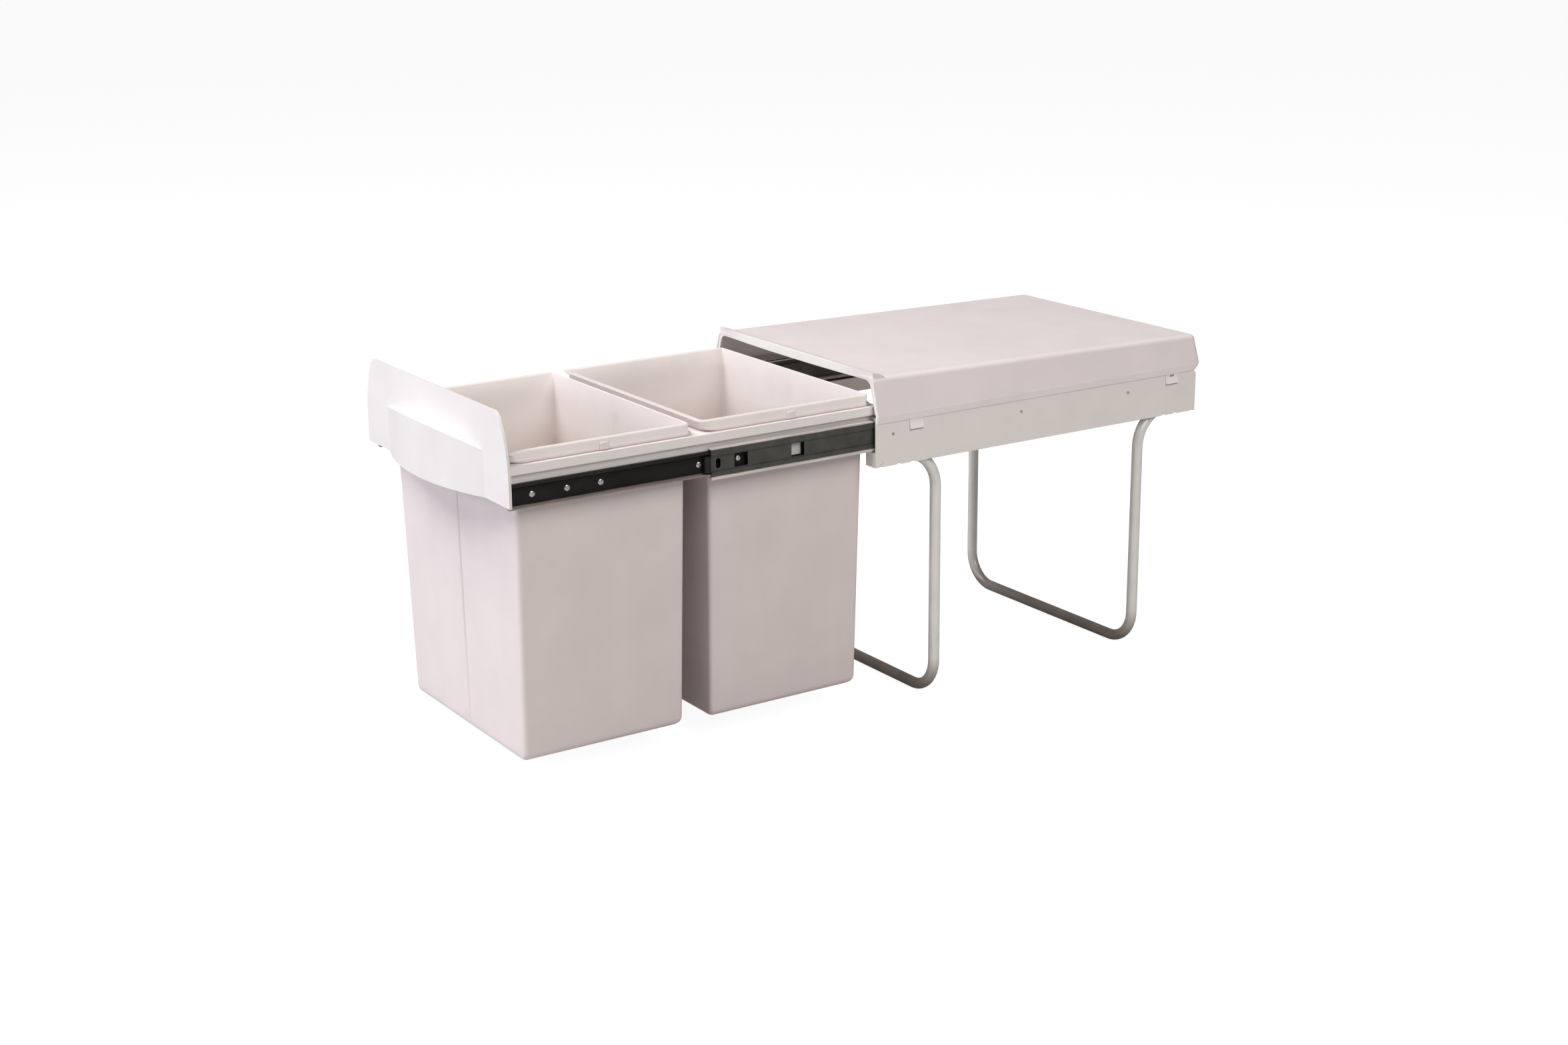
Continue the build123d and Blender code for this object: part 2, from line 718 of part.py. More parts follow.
def cross_bar(y0, y1, front_web, rear_web):
    """Bar between the rails: a ledge for the bins' shoulders, with a web or a lip on each side."""
    half = bin_opening_width / 2
    front_drop = cross_bar_height if front_web else tray_lip_height
    rear_drop = cross_bar_height if rear_web else tray_lip_height
    section = folded_sheet(
        [
            (y0 + tray_sheet / 2, tray_ledge_z - front_drop),
            (y0 + tray_sheet / 2, tray_ledge_z - tray_sheet / 2),
            (y1 - tray_sheet / 2, tray_ledge_z - tray_sheet / 2),
            (y1 - tray_sheet / 2, tray_ledge_z - rear_drop),
        ],
        tray_sheet,
    )
    return along_x(section, -half, half)


def plate_screw_places():
    """Where the plate's screws sit across and up the front bar."""
    z = tray_ledge_z - cross_bar_height * 0.6
    return [(index * plate_screw_spacing, z) for index in (-1, 0, 1)]


def tray_front_bar():
    """Front bar with the holes of the plate's screws."""
    bar = cross_bar(plate_back_y, plate_back_y + tray_front_ledge, True, False)
    for x, z in plate_screw_places():
        bar -= prism_y(screw_diameter / 2 + screw_clearance, shank_sides, plate_back_y - 1,
                       plate_back_y + tray_sheet + 1, x, z)
    return bar


def tray_divider():
    """Bar between the two bins."""
    y0 = bin_front_y + bin_opening_length / 2
    return cross_bar(y0, y0 + tray_divider_width, False, False)


def tray_rear_bar():
    """Rear bar."""
    return cross_bar(rail_rear_y - tray_rear_ledge, rail_rear_y, False, True)


# ---------------------------------------------------------------- front plate

def plate_face():
    """Outline of the plate: straight at the bottom, sides drawing in towards rounded corners."""
    half = plate_width / 2
    top = plate_bottom_z + plate_height
    shoulder = plate_bottom_z + plate_shoulder_height
    corner_x = half - plate_draw_in
    corner_z = top - plate_corner_radius * 0.75
    side = TangentArc((half, shoulder), (corner_x, corner_z), tangent=(0, 1))
    direction = side % 1
    corner = TangentArc((corner_x, corner_z), (corner_x - plate_corner_radius, top), tangent=direction)
    right = [Line((0, plate_bottom_z), (half, plate_bottom_z)), Line((half, plate_bottom_z), (half, shoulder)),
             side, corner, Line((corner_x - plate_corner_radius, top), (0, top)),
             Line((0, top), (0, plate_bottom_z))]
    face = make_face(right)
    return face + mirror(face, about=Plane.YZ)


def bow(half, bulge, front):
    """Plan of the handle: a chord on the plate and an arc that bulges forwards."""
    arc = ThreePointArc((-half, front), (0, front - bulge), (half, front))
    return make_face([arc, Line((half, front), (-half, front))])


def under_arch(half, end_z, rise):
    """Front view of all that lies under the handle's arched top edge."""
    arc = ThreePointArc((-half, end_z), (0, end_z + rise), (half, end_z))
    low = plate_bottom_z - 20
    return make_face([arc, Line((half, end_z), (half, low)), Line((half, low), (-half, low)),
                      Line((-half, low), (-half, end_z))])


def front_plate():
    """Plate with a bowed apron: a finger pull that is open below."""
    front = plate_back_y - plate_thickness
    plate = along_y(plate_face(), front, plate_back_y)
    half = handle_width / 2
    end_z = plate_bottom_z + handle_end_height
    tall = handle_end_height + handle_arch + 10
    block_plan = Pos(0, 0, plate_bottom_z) * extrude(bow(half, handle_bulge, front), amount=tall)
    handle = block_plan & along_y(under_arch(half + 1, end_z, handle_arch), front - handle_bulge - 5, front)
    hollow_plan = Pos(0, 0, plate_bottom_z - 5) * extrude(
        bow(half - 2 * handle_wall, handle_bulge - handle_wall, front), amount=tall + 10)
    hollow = hollow_plan & along_y(under_arch(half + 1, end_z - handle_wall, handle_arch),
                                   front - handle_bulge - 5, front)
    body = plate + (handle - hollow)
    for x, z in plate_screw_places():
        body -= prism_y(screw_diameter / 2, shank_sides, plate_back_y - plate_screw_depth, plate_back_y + 1,
                        x, z)
    return body


def plate_screws():
    """Screws from the front bar into the plate."""
    screws = []
    for x, z in plate_screw_places():
        head_y = plate_back_y + tray_sheet
        screw = prism_y(screw_diameter / 2, shank_sides, plate_back_y - plate_screw_depth, head_y + 0.01,
                        x, z)
        screw += prism_y(screw_head_diameter / 2, head_sides, head_y, head_y + screw_head_height, x, z)
        screws.append(screw)
    return Compound(children=screws)


# ---------------------------------------------------------------- bins

def bin_body(inset, floor_z, top_z):
    """Tapered body of a bin, drawn in by inset: a front view and a side view that cut each other."""
    def view(low_size, high_size):
        growth = (high_size - low_size) / 2 / (tray_ledge_z - bin_bottom_z)
        low = low_size / 2 + growth * (floor_z - bin_bottom_z) - inset
        high = high_size / 2 + growth * (top_z - tray_ledge_z) - inset
        return polygon((-low, floor_z), (low, floor_z), (high, top_z), (-high, top_z))
    across = along_y(view(bin_bottom_width, bin_top_width), -bin_top_length, bin_top_length)
    along = along_x(view(bin_bottom_length, bin_top_length), -bin_top_width, bin_top_width)
    body = across & along
    upright = [e for e in body.edges() if abs(e.tangent_at(0.5).Z) > 0.9]
    body = fillet(upright, bin_corner_radius - inset)
    floor_edges = body.edges().group_by(Axis.Z)[0]
    return chamfer(floor_edges, bin_cavity_chamfer if inset else bin_floor_chamfer)


def bin_rib(inset):
    """Raised rib up the middle of the front and rear walls, drawn in by inset."""
    half = bin_rib_width / 2 - inset
    low = bin_bottom_length / 2 + bin_rib_height - inset
    high = bin_top_length / 2 + bin_rib_height - inset
    side_view = polygon(
        (-low, bin_bottom_z + bin_rib_inset), (low, bin_bottom_z + bin_rib_inset),
        (high, tray_ledge_z - 8.0), (-high, tray_ledge_z - 8.0),
    )
    return along_x(side_view, -half, half)


def trash_bin():
    """Tapered bin with a shoulder that sits on the tray, an upstand, a rim and two side lugs."""
    ring_width = bin_top_width + 2 * shoulder_width
    ring_length = bin_top_length + 2 * shoulder_width
    radius = bin_corner_radius + shoulder_width
    solid = bin_body(0, bin_bottom_z, shoulder_z + bin_wall) + bin_rib(0)
    solid += rounded_block(ring_width, ring_length, radius, shoulder_z, rim_z)
    solid += rounded_block(ring_width + 2 * rim_overhang, ring_length + 2 * rim_overhang,
                           radius + rim_overhang, rim_z - rim_thickness, rim_z)
    lug_reach = ring_width / 2 + rim_overhang - 0.5
    solid += block(-lug_reach, lug_reach, -lug_length / 2, lug_length / 2, shoulder_z, rim_z - rim_thickness)
    cavity = bin_body(bin_wall, bin_bottom_z + bin_wall, shoulder_z + bin_wall + 0.5)
    cavity += bin_rib(bin_wall)
    cavity += rounded_block(ring_width - 2 * bin_wall, ring_length - 2 * bin_wall, radius - bin_wall,
                            shoulder_z + bin_wall, rim_z + 1)
    return solid - cavity


# ---------------------------------------------------------------- build and write

save(top_cover(), "top_cover")
save_pair(side_panel(), "side_panel")
save(leg(0.0, -1), "front_leg")
save(leg(rear_leg_y, 1), "rear_leg")
save_pair(slide_outer(), "slide_outer")
save_pair(slide_middle(), "slide_middle")
save_pair(slide_inner(), "slide_inner")
save_pair(slide_bumper(), "slide_bumper")
save_pair(panel_screws(), "panel_screws")
save_pair(inner_screws(), "inner_screws")

outer_cage_y = outer_front_y + cage_play
inner_cage_y = middle_front_y + cage_play
save_pair(cage_strips(outer_race_v, outer_race_v - lip_height, outer_race_v + flange_low, outer_cage_y),
          "ball_cage_outer")
save_pair(cage_strips(inner_race_v, inner_race_v - flange_low, inner_race_v + lip_height, inner_cage_y),
          "ball_cage_inner")
save_pair(ball_rows(outer_race_v, outer_cage_y), "balls_outer")
save_pair(ball_rows(inner_race_v, inner_cage_y), "balls_inner")

save_pair(tray_rail(), "tray_rail")
save(tray_front_bar(), "tray_front_bar")
save(tray_divider(), "tray_divider")
save(tray_rear_bar(), "tray_rear_bar")
save(front_plate(), "front_plate")
save(plate_screws(), "plate_screws")

one_bin = trash_bin()
save(Pos(0, bin_front_y, 0) * one_bin, "bin_front")
save(Pos(0, bin_rear_y, 0) * one_bin, "bin_rear")
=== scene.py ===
import math

import bmesh
import bpy
from mathutils import Matrix, Vector


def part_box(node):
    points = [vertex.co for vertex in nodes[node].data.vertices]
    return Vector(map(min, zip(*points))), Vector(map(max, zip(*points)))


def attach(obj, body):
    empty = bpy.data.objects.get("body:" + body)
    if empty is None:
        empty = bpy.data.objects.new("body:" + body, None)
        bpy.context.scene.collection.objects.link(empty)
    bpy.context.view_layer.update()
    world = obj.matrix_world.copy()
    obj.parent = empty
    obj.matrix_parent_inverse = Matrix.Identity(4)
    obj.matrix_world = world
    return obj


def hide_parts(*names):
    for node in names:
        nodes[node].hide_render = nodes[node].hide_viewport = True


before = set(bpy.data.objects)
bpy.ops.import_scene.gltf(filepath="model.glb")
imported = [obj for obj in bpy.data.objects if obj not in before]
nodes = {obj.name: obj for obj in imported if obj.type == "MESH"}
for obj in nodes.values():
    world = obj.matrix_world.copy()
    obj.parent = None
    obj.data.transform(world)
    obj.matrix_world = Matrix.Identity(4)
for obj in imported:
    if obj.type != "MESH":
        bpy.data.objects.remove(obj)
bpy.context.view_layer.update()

WHITE = (1.0, 1.0, 1.0)
MIX_FIRST, MIX_SECOND, MIX_RESULT = 6, 7, 2     # the Mix node's colour sockets


# ---------- materials ----------

class Painter:
    """Builds one node material: steady values are set on the shader, patterns are nodes."""

    def __init__(self, name):
        self.material = bpy.data.materials.new(name)
        self.material.use_nodes = True
        self.tree = self.material.node_tree
        self.shader = self.tree.nodes["Principled BSDF"]
        self.place = self.add("ShaderNodeTexCoord").outputs["Object"]
        self.normal = None

    def add(self, kind, **inputs):
        node = self.tree.nodes.new(kind)
        for socket, value in inputs.items():
            node.inputs[socket.replace("_", " ")].default_value = value
        return node

    def link(self, out, socket):
        self.tree.links.new(out, socket)

    def along(self, axis):
        """Place on the part along X, Y or Z, in metres."""
        split = self.add("ShaderNodeSeparateXYZ")
        self.link(self.place, split.inputs["Vector"])
        return split.outputs[axis]

    def stretched(self, scale):
        mapping = self.add("ShaderNodeMapping")
        mapping.inputs["Scale"].default_value = scale
        self.link(self.place, mapping.inputs["Vector"])
        return mapping.outputs["Vector"]

    def noise(self, scale, detail=3.0, roughness=0.55, stretch=None):
        node = self.add("ShaderNodeTexNoise", Scale=scale, Detail=detail, Roughness=roughness)
        self.link(self.stretched(stretch) if stretch else self.place, node.inputs["Vector"])
        return node.outputs["Fac"]

    def cells(self, scale):
        node = self.add("ShaderNodeTexVoronoi", Scale=scale)
        self.link(self.place, node.inputs["Vector"])
        return node.outputs["Distance"]

    def ramp(self, factor, stops):
        node = self.add("ShaderNodeValToRGB")
        band = node.color_ramp
        while len(band.elements) < len(stops):
            band.elements.new(0.5)
        for element, (position, colour) in zip(band.elements, stops):
            element.position = position
            element.color = (*colour, 1.0)
        self.link(factor, node.inputs["Fac"])
        return node.outputs["Color"]

    def span(self, factor, low, high, start=0.3, end=0.7):
        """The factor's run from start to end, mapped to low to high."""
        node = self.add("ShaderNodeMapRange")
        node.inputs["From Min"].default_value = start
        node.inputs["From Max"].default_value = end
        node.inputs["To Min"].default_value = low
        node.inputs["To Max"].default_value = high
        self.link(factor, node.inputs["Value"])
        return node.outputs["Result"]

    def mix(self, factor, first, second, blend="MIX"):
        node = self.tree.nodes.new("ShaderNodeMix")
        node.data_type = "RGBA"
        node.blend_type = blend
        self.link(factor, node.inputs["Factor"])
        self.link(first, node.inputs[MIX_FIRST])
        self.link(second, node.inputs[MIX_SECOND])
        return node.outputs[MIX_RESULT]

    def math(self, operation, *values):
        node = self.add("ShaderNodeMath")
        node.operation = operation
        for socket, value in zip(node.inputs, values):
            if isinstance(value, float):
                socket.default_value = value
            else:
                self.link(value, socket)
        return node.outputs["Value"]

    def soft_edges(self, radius):
        node = self.add("ShaderNodeBevel", Radius=radius)
        node.samples = 4
        self.normal = node.outputs["Normal"]

    def bump(self, height, strength, distance):
        node = self.add("ShaderNodeBump", Strength=strength, Distance=distance)
        self.link(height, node.inputs["Height"])
        if self.normal is not None:
            self.link(self.normal, node.inputs["Normal"])
        self.normal = node.outputs["Normal"]

    def done(self, **values):
        if self.normal is not None:
            self.link(self.normal, self.shader.inputs["Normal"])
        for socket, value in values.items():
            self.shader.inputs[socket.replace("_", " ")].default_value = value
        return self.material


def shades(colour, spread):
    """Three stops round one colour, from darker to lighter."""
    return [
        (0.3, [c * (1.0 - spread) for c in colour]),
        (0.5, colour),
        (0.7, [min(1.0, c * (1.0 + spread)) for c in colour]),
    ]


def moulded_plastic(name, colour, roughness, grain, edge, painted_shading_zones=()):
    """Satin moulding: slow mottling, faint flow lines up the walls, fine eroded grain.

    A zone paints light or shade: an axis, where along it the tint starts and is full, and the tint."""
    p = Painter(name)
    mottle = p.noise(14.0, 2.0)
    flow = p.noise(26.0, 3.0, 0.6, (1.0, 1.0, 0.12))
    base = p.ramp(mottle, shades(colour, 0.025))
    streak = p.ramp(flow, shades((0.985, 0.985, 0.985), 0.015))
    whole = p.mix(p.span(p.noise(5.0, 1.0), 0.5, 1.0), base, streak, "MULTIPLY")
    for axis, start, end, shading_tint in painted_shading_zones:
        share = p.span(p.along(axis), 0.0, 1.0, start, end)
        painted_tint = p.ramp(p.noise(40.0, 2.0), [(0.3, [c * 0.985 for c in shading_tint]), (0.7, shading_tint)])
        whole = p.mix(share, whole, painted_tint, "MULTIPLY")
    p.link(whole, p.shader.inputs["Base Color"])
    p.link(p.span(p.noise(90.0, 4.0), roughness - 0.05, roughness + 0.07), p.shader.inputs["Roughness"])
    p.soft_edges(edge)
    p.bump(p.noise(1500.0, 2.0), grain, 0.00012)
    p.bump(p.noise(9.0, 1.0), 0.06, 0.004)
    return p.done(Specular_IOR_Level=0.4)


def powder_coat(name, colour, roughness, edge):
    """Sprayed coat: orange peel, pin dots, uneven gloss."""
    p = Painter(name)
    cloud = p.noise(20.0, 3.0)
    base = p.ramp(cloud, shades(colour, 0.02))
    dots = p.ramp(p.cells(900.0), [(0.0, (0.93, 0.93, 0.93)), (0.12, WHITE), (1.0, WHITE)])
    whole = p.mix(p.span(p.noise(300.0, 2.0), 0.2, 0.8), base, dots, "MULTIPLY")
    p.link(whole, p.shader.inputs["Base Color"])
    p.link(p.span(p.noise(160.0, 3.0), roughness - 0.06, roughness + 0.06), p.shader.inputs["Roughness"])
    p.soft_edges(edge)
    p.bump(p.noise(620.0, 2.0), 0.25, 0.0002)
    return p.done(Specular_IOR_Level=0.45)


def drawn_steel(name, colour, roughness, stretch, edge):
    """Plated steel: fine drawing lines, cloudy plating, small dull spots."""
    p = Painter(name)
    cloud = p.noise(35.0, 4.0)
    base = p.ramp(cloud, shades(colour, 0.07))
    spots = p.ramp(p.noise(240.0, 5.0, 0.7), [(0.30, (0.80, 0.78, 0.76)), (0.42, WHITE), (1.0, WHITE)])
    whole = p.mix(p.span(p.noise(12.0, 2.0), 0.3, 1.0), base, spots, "MULTIPLY")
    p.link(whole, p.shader.inputs["Base Color"])
    lines = p.noise(900.0, 2.0, 0.5, stretch)
    p.link(p.span(lines, roughness - 0.08, roughness + 0.12), p.shader.inputs["Roughness"])
    p.soft_edges(edge)
    p.bump(lines, 0.12, 0.0001)
    return p.done(Metallic=1.0)


# Heights and depths, in metres, where painted light and shade change
FOOT_SHADE_FULL_Z, FOOT_SHADE_TOP_Z = 0.012, 0.050         # the legs' foot, painted darker towards the floor as shade and dark reflection
BORDER_BACK_Y, BORDER_FACE_Y = -0.0885, -0.0905      # the cover's front border, painted lighter as a highlight
SKIRT_BAND_TOP_Z, SKIRT_BAND_Z = 0.3535, 0.3515      # the lowest band of the cover's skirt, painted lighter against its shade
BIN_SHADE_TOP_Z, BIN_SHADE_FULL_Z = 0.325, 0.258     # inside the bins, painted shade darker towards the floor


def leg_finish():
    """Satin nickel on the legs: drawing lines, clouds, and painted shade and dark reflection towards the floor.
    """
    p = Painter("leg_plating")
    base = p.ramp(p.noise(35.0, 4.0), shades((0.86, 0.84, 0.80), 0.04))
    # Painted shade and dark reflection: the legs darken towards the floor.
    foot_shade = p.ramp(p.span(p.along("Z"), 0.0, 1.0, FOOT_SHADE_FULL_Z, FOOT_SHADE_TOP_Z),
                     [(0.0, (0.30, 0.26, 0.24)), (0.6, (0.75, 0.72, 0.70)), (1.0, WHITE)])
    whole = p.mix(p.span(p.noise(30.0, 2.0), 0.9, 1.0), base, foot_shade, "MULTIPLY")
    p.link(whole, p.shader.inputs["Base Color"])
    lines = p.noise(900.0, 2.0, 0.5, (1.0, 1.0, 0.05))
    p.link(p.span(lines, 0.30, 0.46), p.shader.inputs["Roughness"])
    p.bump(lines, 0.10, 0.0001)
    return p.done(Metallic=0.2)


# Colours are linear, and fit the photo under the lights below.
# Painted light: the cover's front border and the lowest band of its skirt are lightened.
cover_painted_light_zones = [("Y", BORDER_BACK_Y, BORDER_FACE_Y, (1.16, 1.28, 1.21)),
               ("Z", SKIRT_BAND_TOP_Z, SKIRT_BAND_Z, (1.18, 1.20, 1.19))]
# Painted shade: the bins' inside darkens towards the floor.
bin_painted_shade_zones = [("Z", BIN_SHADE_TOP_Z, BIN_SHADE_FULL_Z, (0.76, 0.705, 0.65))]
cover_plastic = moulded_plastic("cover_moulding", (0.775, 0.697, 0.705), 0.42, 0.22, 0.0006, cover_painted_light_zones)
bin_plastic = moulded_plastic("bin_moulding", (0.780, 0.690, 0.685), 0.46, 0.25, 0.0006)
# A lighter copy of the bin plastic: painted light on the upstands and inside the bins, with painted shade lower
# down inside.
lit_bin_plastic = moulded_plastic("bin_lit_moulding", (0.875, 0.808, 0.793), 0.42, 0.25, 0.0004, bin_painted_shade_zones)
plate_plastic = moulded_plastic("plate_moulding", (0.79, 0.75, 0.74), 0.34, 0.12, 0.0006)
panel_paint = powder_coat("panel_coat", (0.845, 0.785, 0.765), 0.44, 0.0005)
rail_paint = powder_coat("rail_coat", (0.830, 0.780, 0.765), 0.42, 0.0005)
leg_metal = leg_finish()
zinc = drawn_steel("zinc_plating", (0.58, 0.55, 0.53), 0.40, (1.0, 0.04, 1.0), 0.0002)
screw_steel = drawn_steel("screw_plating", (0.66, 0.64, 0.62), 0.30, (1.0, 1.0, 1.0), 0.0003)
ball_steel = drawn_steel("ball_polish", (0.72, 0.72, 0.72), 0.14, (1.0, 1.0, 1.0), 0.0001)


def black_coat(name, low_z, upper_start, colour, bare_and_highlight_colour, gloss):
    """Black dip coat on a slide member, with bright bands along its foot and above upper_start: partly bare
    metal, partly painted highlight.
    """
    p = Painter(name)
    dark = p.ramp(p.noise(60.0, 3.0), shades(colour, 0.25))
    # The bright bands are partly bare metal and partly painted highlight, at half metallic at most.
    metal_and_highlight = p.ramp(p.noise(500.0, 3.0, 0.5, (1.0, 0.03, 1.0)), shades(bare_and_highlight_colour, 0.18))
    wavy = p.math("MULTIPLY_ADD", p.noise(40.0, 3.0), 0.0010, p.along("Z"))
    lower = p.span(wavy, 1.0, 0.0, low_z + 0.0030, low_z + 0.0042)
    upper = p.span(wavy, 0.0, 1.0, upper_start, upper_start + 0.0010)
    worn_and_highlight = p.math("MAXIMUM", lower, upper)
    p.link(p.mix(worn_and_highlight, dark, metal_and_highlight), p.shader.inputs["Base Color"])
    p.link(p.span(worn_and_highlight, 0.0, 0.5, 0.0, 1.0), p.shader.inputs["Metallic"])
    p.link(p.span(p.noise(120.0, 3.0), 0.36, 0.52), p.shader.inputs["Roughness"])
    p.soft_edges(0.0003)
    p.bump(p.noise(500.0, 2.0, 0.5, (1.0, 0.05, 1.0)), 0.12, 0.0001)
    return p.done(Specular_IOR_Level=gloss)


def cage_material():
    p = Painter("cage_moulding")
    p.link(p.ramp(p.noise(80.0), shades((0.05, 0.05, 0.05), 0.2)), p.shader.inputs["Base Color"])
    p.link(p.span(p.noise(200.0), 0.4, 0.6), p.shader.inputs["Roughness"])
    p.bump(p.noise(1200.0), 0.2, 0.0001)
    return p.done()


def rubber_material():
    p = Painter("bumper_rubber")
    p.link(p.ramp(p.noise(120.0), shades((0.018, 0.018, 0.018), 0.3)), p.shader.inputs["Base Color"])
    p.link(p.span(p.noise(300.0), 0.6, 0.85), p.shader.inputs["Roughness"])
    p.bump(p.noise(900.0), 0.3, 0.0001)
    return p.done(Specular_IOR_Level=0.3)


cage = cage_material()
rubber = rubber_material()
middle_low, middle_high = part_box("slide_middle_right")
inner_low, inner_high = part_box("slide_inner_right")
middle_coat = black_coat("middle_member_coat", middle_low.z, middle_high.z - 0.0012,
                         (0.060, 0.058, 0.053), (0.80, 0.72, 0.69), 0.5)
# The inner member has no bright band above (bare metal and painted highlight): its start lies past the member's
# top.
inner_coat = black_coat("inner_member_coat", inner_low.z, inner_high.z + 0.0010,
                        (0.017, 0.014, 0.015), (0.40, 0.345, 0.32), 0.14)

FINISH = {
    "top_cover": cover_plastic, "side_panel": panel_paint, "front_leg": leg_metal, "rear_leg": leg_metal,
    "slide_outer": zinc, "slide_middle": middle_coat, "slide_inner": inner_coat, "slide_bumper": rubber,
    "panel_screws": screw_steel, "inner_screws": screw_steel, "plate_screws": screw_steel,
    "tray": rail_paint, "front_plate": plate_plastic, "bin": bin_plastic, "ball_cage": cage, "balls": ball_steel,
}
for name, node in nodes.items():
    prefix = max((k for k in FINISH if name.startswith(k)), key=len)
    node.data.materials.clear()
    node.data.materials.append(FINISH[prefix])


# ---------- pieces that stand for CAD nodes ----------

MM = 1000.0                 # the pieces are worked out in millimetres


def mesh_piece(name, points, faces, materials, body, sharp=32.0, second_faces=()):
    """A mesh that is smooth but for edges past the sharp angle; second_faces take the second material."""
    mesh = bpy.data.meshes.new(name)
    mesh.from_pydata([(x / MM, y / MM, z / MM) for x, y, z in points], [], faces)
    for material in materials:
        mesh.materials.append(material)
    build = bmesh.new()
    build.from_mesh(mesh)
    build.faces.ensure_lookup_table()
    for index in second_faces:
        build.faces[index].material_index = 1
    bmesh.ops.remove_doubles(build, verts=build.verts, dist=1e-7)
    bmesh.ops.recalc_face_normals(build, faces=build.faces)
    for face in build.faces:
        face.smooth = True
    for edge in build.edges:
        edge.smooth = edge.is_manifold and edge.calc_face_angle(0.0) < math.radians(sharp)
    build.to_mesh(mesh)
    build.free()
    piece = bpy.data.objects.new(name, mesh)
    bpy.context.scene.collection.objects.link(piece)
    even = piece.modifiers.new("even_shading", "WEIGHTED_NORMAL")
    even.keep_sharp = True
    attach(piece, body)
    return piece


def lofted(loops):
    """Points and faces of a closed skin through loops with the same number of points."""
    count = len(loops[0])
    points = [p for loop in loops for p in loop]
    faces = []
    for level in range(len(loops) - 1):
        for k in range(count):
            a, b = level * count + k, level * count + (k + 1) % count
            faces.append((a, b, b + count, a + count))
    faces.append(tuple(range(count - 1, -1, -1)))
    faces.append(tuple(range(len(points) - count, len(points))))
    return points, faces


def append_lofted(points, faces, loops):
    """Adds another skin to the points and faces of a piece."""
    start = len(points)
    more_points, more_faces = lofted(loops)
    points.extend(more_points)
    faces.extend(tuple(start + k for k in face) for face in more_faces)


def arc_points(cx, cy, radius, start):
    """Points of a quarter circle from the start angle in degrees."""
    angles = [math.radians(start + 90.0 * k / CORNER_STEPS) for k in range(CORNER_STEPS + 1)]
    return [(cx + radius * math.cos(angle), cy + radius * math.sin(angle)) for angle in angles]


# ---------- bins: millimetres, y from the bin's own centre ----------

CORNER_STEPS = 6                        # facets round each vertical corner
BIN_BOTTOM_Z, BIN_TAPER_HEIGHT = 31.0, 332.0
BIN_FOOT, BIN_TAPER = (136.0, 98.0), (11.5, 3.5)        # half width and half depth
BIN_WALL = 1.8
BIN_OUTER_CORNERS = (5.5, 6.0)          # front and rear radius
BIN_INNER_CORNERS = (4.0, 2.4)
RIB_PROFILE = ((-8.0, 0.0), (-6.2, 1.0), (0.0, 1.1), (6.2, 1.0), (8.0, 0.0))    # x, share of the rib's rise

# Height and the rib's rise, up the outside and down the inside
OUTER_WALL = ((44.0, 0.8), (50.0, 1.5), (150.0, 1.5), (250.0, 1.5), (345.0, 1.5), (354.0, 0.8))
INNER_WALL = ((361.0, 0.0), (352.0, 0.6), (344.0, 1.2), (200.0, 1.2), (60.0, 1.2), (50.0, 0.6), (42.0, 0.0))

FLANGE_FOOT_Z = 363.3

# Height, half width, front y, rear y, front corner radius, rear corner radius
FLANGE = (
    (363.35, 155.0, -109.0, 109.0, 15.0, 14.0),
    (363.9, 155.5, -109.5, 109.5, 15.0, 14.0),
    (365.2, 155.5, -109.6, 109.5, 15.0, 14.0),
)
UPSTAND = (
    (365.6, 155.5, -109.8, 103.4, 9.0, 8.0),
    (371.0, 155.5, -110.8, 103.2, 8.5, 7.0),
    (373.8, 155.5, -115.0, 103.2, 8.0, 6.0),
    (375.1, 155.4, -117.6, 103.1, 8.0, 6.0),
    (375.9, 155.0, -118.2, 102.9, 8.0, 6.0),
)
RIM_TOP = (
    (376.3, 154.2, -117.4, 102.4, 7.5, 5.4),
    (376.3, 150.4, -111.6, 101.4, 6.5, 2.4),
)
MOUTH = (
    (375.8, 149.7, -110.4, 101.0, 6.5, 2.0),
    (371.0, 147.9, -105.5, 100.5, 6.0, 1.9),
)

# Lug on the upstand: height and how far its outline draws in
LUG_LEVELS = ((363.7, 0.6), (364.4, 0.0), (370.6, 0.0), (371.8, 0.7), (372.2, 1.8))


def bin_loop(centre_y, z, half, y0, y1, front_radius, rear_radius, rib=0.0):
    """Plan of a bin at one height, with a rib in the middle of the front and rear."""
    plan = [(x, y0 - rib * lift) for x, lift in RIB_PROFILE]
    plan += arc_points(half - front_radius, y0 + front_radius, front_radius, -90)
    plan += arc_points(half - rear_radius, y1 - rear_radius, rear_radius, 0)
    plan += [(-x, y1 + rib * lift) for x, lift in RIB_PROFILE]
    plan += arc_points(-half + rear_radius, y1 - rear_radius, rear_radius, 90)
    plan += arc_points(-half + front_radius, y0 + front_radius, front_radius, 180)
    return [(x, centre_y + y, z) for x, y in plan]


def bin_wall_at(z, inset):
    """Half width and half depth of the tapered body at a height."""
    share = (z - BIN_BOTTOM_Z) / BIN_TAPER_HEIGHT
    return tuple(foot + taper * share - inset for foot, taper in zip(BIN_FOOT, BIN_TAPER))


def edge_turn(angle):
    """How far a rounded bottom edge has risen, and how far it still is from the wall, as shares of its size."""
    return 1 - math.cos(math.radians(angle)), 1 - math.sin(math.radians(angle))


